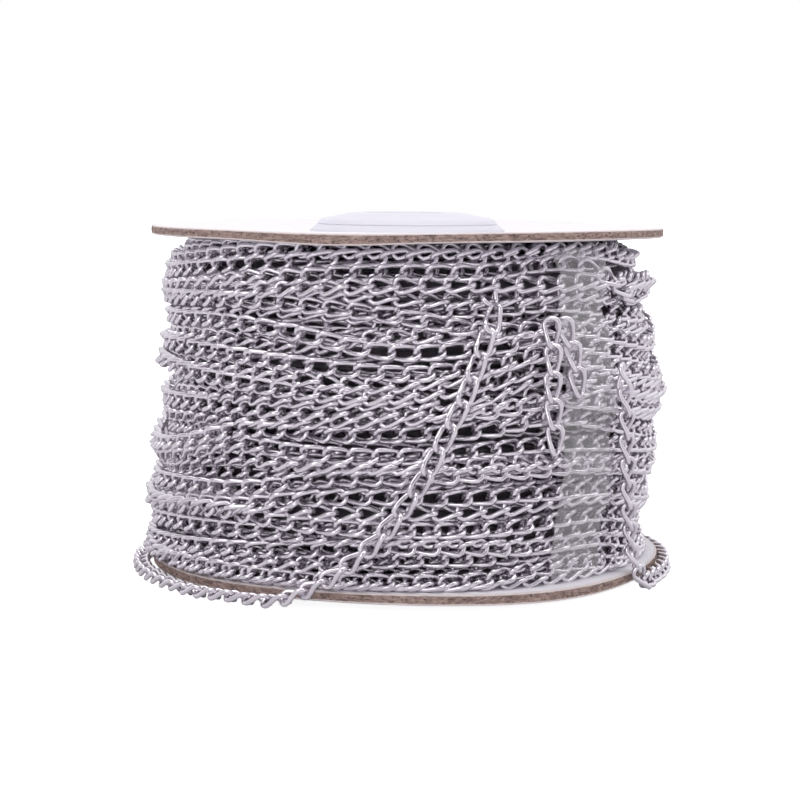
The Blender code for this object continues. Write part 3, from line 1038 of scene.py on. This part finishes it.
# The slipped turn: down across the front, flat on the floor round the rim, and up the right side.
# A lie is radius, height and roll; from the back on the strand leans up against the rim.
slipped = {
    "tucked": (498, 294),      # its first link comes out from under the turns
    "tuck": 0.0036,
    # down the front and over the rim: pixel and roll
    "frontRun": [((493, 318.5), -26), ((488, 332), -25), ((479, 360), -21), ((464, 400), -15),
                 ((444, 440), -10), ((418, 488), -12), ((385, 532), -28), ((366, 550), -38)],
    "frontRadius": 0.0505,
    "overRim": [((347, 566), -48), ((325, 581), -58), ((303, 591.5), -70), ((285, 598), -84)],
    "overRimRadius": 0.0518,
    # round the rim, from its front back past the left side to the right
    "rimFrom": -28.0,
    "rimTo": -296.0,
    "rimSteps": 24,
    "rimStart": Vector((0.0516, 0.0018, -97.0)),
    "rimLie": Vector((0.0524, 0.0013, -97.0)),
    "rimLieFrom": -50.0,
    "leanLie": Vector((0.0515, 0.0018, -12.0)),
    "leanFrom": -105.0,
    "leanTo": -180.0,
    "tipLift": 0.0005,         # how far its middle rises while it tips over
    # up the right side: pixel and radius, then pixels alone
    "climb": [((645, 580.5), 0.0522), ((640, 573), 0.0519), ((635, 560), 0.0509), ((632, 546), 0.0501)],
    "sideRun": [(629.5, 520), (628.5, 497), (628, 472), (627, 447), (627, 422), (626, 397), (626, 385),
                (621, 374.5), (611, 368)],
    "sideRadius": 0.0508,
    "sideClear": 0.0004,
    "sideRoll": -5.0,
    "endRoll": -60.0,          # its last link lies on edge
    "endHeights": (0.0362, 0.0385),     # between these it turns so
    "slack": 0.0039,           # from link to link where it lies on the floor
    "taut": 0.00453,           # and where it hangs
    "slackHeights": (0.0035, 0.0075),     # between these the one gives way to the other
    "linkSeed": 5,
}


def slippedFront(lift):
    # out from under the turns, down the front and over the rim
    pixels, rolls = zip(*slipped["frontRun"])
    heights = [sightOn(pixel, slipped["frontRadius"])[1] for pixel in pixels]
    points = []
    for azimuth, radius, height, _ in layOver(pixels, slipped["frontRadius"], lift):
        points.append((azimuth, radius, height, float(np.interp(height, heights[::-1], rolls[::-1]))))
    azimuth, height = sightOn(slipped["tucked"], slipped["frontRadius"])
    tucked = Vector((azimuth, points[0][1] - slipped["tuck"], height, rolls[0]))
    for pixel, roll in slipped["overRim"]:
        azimuth, height = sightOn(pixel, slipped["overRimRadius"])
        points.append((azimuth, slipped["overRimRadius"], max(height, slipped["rimStart"].y), roll))
    return tucked, points


def slippedRound():
    # on the floor round the rim; from the back on it tips over and leans against the rim
    points = []
    for i in range(slipped["rimSteps"] + 1):
        azimuth = slipped["rimFrom"] + (slipped["rimTo"] - slipped["rimFrom"]) * i / slipped["rimSteps"]
        leaning = progress(azimuth, slipped["leanFrom"], slipped["leanTo"])
        lie = slipped["rimLie"].lerp(slipped["leanLie"], leaning)
        lie.y += slipped["tipLift"] * math.sin(math.pi * leaning)
        lie = lie.lerp(slipped["rimStart"], progress(azimuth, slipped["rimLieFrom"], slipped["rimFrom"]))
        points.append((azimuth, *lie))
    return points


def slippedSide(lift):
    # up the rim and the right side; 360 is taken off its azimuths, so that they run on from the rim's
    points = []
    for pixel, radius in slipped["climb"]:
        azimuth, height = sightOn(pixel, radius)
        points.append((azimuth - 360.0, radius, height, slipped["leanLie"].z))
    rolls = (slipped["sideRoll"], slipped["endRoll"])
    side = layOver(slipped["sideRun"], slipped["sideRadius"], lift + slipped["sideClear"])
    for azimuth, radius, height, _ in side:
        roll = float(np.interp(height, slipped["endHeights"], rolls))
        points.append((azimuth - 360.0, radius, height, roll))
    return points


def slippedSpacing(place):
    return float(np.interp(place[2], slipped["slackHeights"], (slipped["slack"], slipped["taut"])))


def makeSlippedTurn():
    lift = chain["thickness"] / 2
    tucked, points = slippedFront(lift)
    points += slippedRound() + slippedSide(lift)
    drawn = smoothLine([Vector(point) for point in points], laying["fineStep"], strandRun)
    places = [tucked, *spaceOut(drawn, slippedSpacing)]
    print("links in the slipped turn", len(places))
    piece = routeMesh("slipped_chain", [strandRoute(places)], closed=False)
    return linkUp(piece, slipped["linkSeed"], spaced=True, **fineLinks)


# The loose end: a bight tucked under a turn, one leg long and one short
tail = {
    "legs": [
        {"line": [(552, 333), (553.5, 361), (553, 387), (554, 411), (555.5, 440)], "roll": -8.0},
        {"line": [(567, 332), (574.5, 357), (578, 382)], "roll": -12.0},
    ],
    "radius": 0.0512,
    "clear": 0.0004,
    "step": 0.001,
    "linkSeed": 11,
}


def makeTail():
    lift = chain["thickness"] / 2 + tail["clear"]
    routes = []
    for leg in tail["legs"]:
        points = [Vector(point) for point in layOver(leg["line"], tail["radius"], lift, leg["roll"])]
        routes.append(strandRoute(smoothLine(points, tail["step"], strandRun)))
    piece = routeMesh("loose_end", routes, closed=False)
    return linkUp(piece, tail["linkSeed"], **fineLinks)


slippedPiece = makeSlippedTurn()
tailPiece = makeTail()
print("slipped turn and loose end made")


# The tape over the turns at the right of the front
tape = {
    "fromAzimuth": 33.2,
    "slant": 1.7,              # how much further round its top lies
    "width": 0.0127,
    "sweepRadius": 0.0492,
    "foot": 0.0045,
    "top": 0.0644,
    "columns": 28,
    "rows": 130,
    "thickness": 0.00006,
    "lift": 0.00015,
    "feel": 0.0006,            # half height with which it feels for the turns below
    "bridging": 4,             # rows to either side that it bridges
    "softening": 2,            # and that it is smoothed over
}


def spread(values, reach, join):
    # each value joined with its neighbours, up to the reach along a column and one step to either side
    padded = np.pad(values, reach, mode="edge")
    rows, columns = values.shape
    shifted = [padded[reach + down:reach + down + rows, reach + along:reach + along + columns]
               for down in range(-reach, reach + 1) for along in (-1, 0, 1)]
    return join(shifted, axis=0)


def tapeAzimuth(row, column):
    sweep = math.degrees(tape["width"] / tape["sweepRadius"])
    return tape["fromAzimuth"] + tape["slant"] * row / tape["rows"] + sweep * column / tape["columns"]


def makeTape():
    rows, columns = tape["rows"], tape["columns"]
    heights = [tape["foot"] + (tape["top"] - tape["foot"]) * row / rows for row in range(rows + 1)]
    crest = np.zeros((rows + 1, columns + 1))
    for row, column in np.ndindex(crest.shape):
        crest[row, column] = surfaceUnder(tapeAzimuth(row, column), heights[row], tape["feel"])
    crest = spread(spread(crest, tape["bridging"], np.max), tape["softening"], np.mean) + tape["lift"]
    bm = bmesh.new()
    grid = []
    for row, height in enumerate(heights):
        grid.append([bm.verts.new(onCylinder(tapeAzimuth(row, column), crest[row, column], height))
                     for column in range(columns + 1)])
    for lower, upper in zip(grid, grid[1:]):
        for column in range(columns):
            bm.faces.new((lower[column], lower[column + 1], upper[column + 1], upper[column]))
    piece = pieceFrom("tape_film", bm, tapeFinish())
    piece.data.shade_smooth()
    thick = piece.modifiers.new("thick", "SOLIDIFY")
    thick.thickness = tape["thickness"]
    thick.offset = 1.0
    return piece


tapePiece = makeTape()
print("tape laid")


# The two discs, cut from board that has warped a little at the rim
board = boardFinish()
disc = {
    "steps": 360,
    "edgeRows": 9,
    "edgeRound": 0.0003,
    "rings": [0.0175, 0.030, 0.040, 0.045, 0.048],
    "stiffTo": 0.040,          # the warp starts here, and grows with the square of the way out
    "fullWarp": 0.010,         # how much further out it is in full
    "fray": 0.00014,
    "frayAcross": 700,         # how fine the fray is, along the rim and through the board
    "frayThrough": 2400,
    "frayApart": 900,          # sets the two discs' fray apart
}


def discOutline(foot, top):
    # (radius, height, share of the way up through the board), from the bore out over the top and back
    bevel = disc["edgeRound"]
    face = [reel["hubRadius"] + reel["gap"], *disc["rings"], reel["discRadius"] - bevel]
    outline = [(ring, top, 1.0) for ring in face]
    for i in range(disc["edgeRows"]):
        share = 1 - i / (disc["edgeRows"] - 1)
        outline.append((reel["discRadius"], foot + bevel * 0.5 + (top - foot - bevel) * share, share))
    return outline + [(ring, foot, 0.0) for ring in reversed(face)]


def frayAt(azimuth, distance, height, foot):
    # how far the fibres of the cut edge stand out or in
    if distance <= reel["discRadius"] - 2 * disc["edgeRound"]:
        return 0.0
    point = onCylinder(azimuth, distance, height)
    fine = disc["frayAcross"]
    through = height * disc["frayThrough"] + foot * disc["frayApart"]
    return disc["fray"] * noise.noise(Vector((point.x * fine, point.y * fine, through)))


def makeDisc(name, foot, top, dish, rimLift):
    radius = reel["discRadius"]
    inner = reel["hubRadius"] + reel["gap"]
    bm = bmesh.new()
    across = bm.verts.layers.float.new("acrossEdge")
    rings = []
    for step in range(disc["steps"]):
        azimuth = 360 * step / disc["steps"]
        ring = []
        for distance, height, share in discOutline(foot, top):
            outer = max(0.0, (distance - disc["stiffTo"]) / disc["fullWarp"])
            sunk = dish * (radius - distance) / (radius - inner)
            lift = rimLift(azimuth, share) * outer ** 2 - sunk
            frayed = distance + frayAt(azimuth, distance, height, foot)
            vert = bm.verts.new(onCylinder(azimuth, frayed, height + lift))
            vert[across] = share
            ring.append(vert)
        rings.append(ring)
    return solidOfRings(name, bm, rings, board)


def lidLift(azimuth, share):
    # the front droops a little, and its lower ply has swollen there
    return warpAt(azimuth, "lidDroops") + warpAt(azimuth, "lidPlySwells") * (1 - share)


def baseLift(azimuth, share):
    # its lower ply hangs a little
    return warpAt(azimuth, "baseSinks") + warpAt(azimuth, "basePlyHangs") * (1 - share)


lidPiece = makeDisc("upper_disc", reel["lidFoot"], reel["lidTop"], reel["lidDish"], lidLift)
basePiece = makeDisc("lower_disc", reel["discFoot"], reel["discTop"], 0.0, baseLift)
print("discs cut")


# The moulded hub: a boss at each end, with a parting line round the upper one
hub = {
    "bore": 0.0080,
    "boreRound": 0.0003,       # at the bottom
    "mouthRound": 0.0004,      # at the top
    # the upper boss from its crown out to the parting line: radius, and depth below the top
    "crown": [(0.0106, 0.0), (0.0116, 0.0001), (0.0128, 0.0004), (0.0148, 0.0008), (0.0164, 0.0011),
              (0.0172, 0.0014), (0.0175, 0.0018), (0.0177, 0.0021), (0.0176, 0.0022), (0.0178, 0.0023)],
    "bossBase": 0.0192,
    # its foot on the board: how far in from the base, and how far up
    "bossFoot": [(0.0006, 0.0007), (0.0001, 0.0003), (0.0, 0.0)],
    "seat": 0.00004,           # the boss sits down on the board
    # the lower boss: radius and height
    "floorBoss": [(0.0175, 0.0004), (0.0171, 0.0)],
    "floorRound": (0.0003, 0.0004),
    "steps": 128,
}


def makeHub():
    top = reel["hubTop"]
    bore, base = hub["bore"], hub["bossBase"]
    lidFace = reel["lidTop"] - reel["lidDish"] + hub["seat"]
    discFace = reel["discFoot"] - reel["gap"]
    inset, drop = hub["floorRound"]
    outline = [
        (bore + hub["mouthRound"], top),
        *((radius, top - depth) for radius, depth in hub["crown"]),
        *((base - inward, lidFace + rise) for inward, rise in hub["bossFoot"]),
        (reel["hubRadius"], lidFace), (reel["hubRadius"], discFace),
        (base, discFace), (base - inset, discFace - drop),
        *hub["floorBoss"],
        (bore + hub["boreRound"], 0.0), (bore, hub["boreRound"]), (bore, top - hub["mouthRound"]),
    ]
    return turnedPiece("hub_moulding", outline, hub["steps"], hubFinish())


hubPiece = makeHub()
print("hub moulded")


# What belongs to what
def belong(piece, node):
    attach(piece, "root")
    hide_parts(node)


for piece in (*outerPieces, underPiece, corePiece):
    belong(piece, "wound_chain")
belong(slippedPiece, "slipped_turn")
belong(tailPiece, "chain_tail")
belong(tapePiece, "tape_strip")
belong(lidPiece, "top_disc")
belong(basePiece, "bottom_disc")
belong(hubPiece, "hub")


# Studio
studio = {
    # what the reel mirrors, from the camera's side at 0 to the white sweep behind it at 1
    "room": [(0.0, (1.0, 0.98, 1.02)), (0.08, (0.97, 0.95, 0.99)), (0.15, (0.38, 0.37, 0.39)),
             (0.24, (0.38, 0.37, 0.39)), (0.34, (0.86, 0.84, 0.88)), (0.75, (1.0, 0.99, 1.02))],
    "lean": 0.38,              # how much brighter the right is than the left
    "floorSize": 6.0,
    # place, size and power
    "lamps": {
        "top": ((0.0, -0.12, 0.62), (1.0, 0.16), 1.7),
        "key": ((-0.30, -0.55, 0.40), (0.25, 0.25), 0.5),
    },
    "lampsAim": Vector((0.0, 0.0, 0.03)),
}


def addLamp(name, place, size, power):
    light = bpy.data.lights.new(name, "AREA")
    light.shape = "RECTANGLE"
    light.size, light.size_y = size
    light.energy = power
    lamp = addObject(name, light)
    lamp.location = place
    lamp.rotation_euler = (studio["lampsAim"] - Vector(place)).to_track_quat("-Z", "Y").to_euler()


def layFloor():
    bm = bmesh.new()
    bmesh.ops.create_grid(bm, x_segments=1, y_segments=1, size=studio["floorSize"] / 2)
    floor = pieceFrom("pale_floor", bm, floorFinish())


def lightRoom():
    world = bpy.data.worlds.new("studio")
    bpy.context.scene.world = world
    world.use_nodes = True
    world.node_tree.nodes.clear()
    make = TreeMaker(world.node_tree)
    towards = make.node("ShaderNodeTexCoord", out="Generated")
    x = make.node("ShaderNodeSeparateXYZ", sockets={"Vector": towards})
    away = (x.also("Y") + x * studio["lean"]) * 0.5 + 0.5
    room = make.node("ShaderNodeValToRGB", {"stops": studio["room"]}, {"Fac": away})
    mirrored = make.node("ShaderNodeBackground", sockets={"Color": room, "Strength": 1.0})
    white = make.node("ShaderNodeBackground", sockets={"Color": (1.0, 1.0, 1.0, 1.0), "Strength": 1.0})
    seen = make.node("ShaderNodeLightPath", out="Is Camera Ray")
    both = make.node("ShaderNodeMixShader", sockets={0: seen, 1: mirrored, 2: white})
    make.node("ShaderNodeOutputWorld", sockets={"Surface": both})


layFloor()
lightRoom()
for name, (place, size, power) in studio["lamps"].items():
    addLamp(name, place, size, power)
bpy.context.scene.view_settings.view_transform = "Standard"
print("studio set")
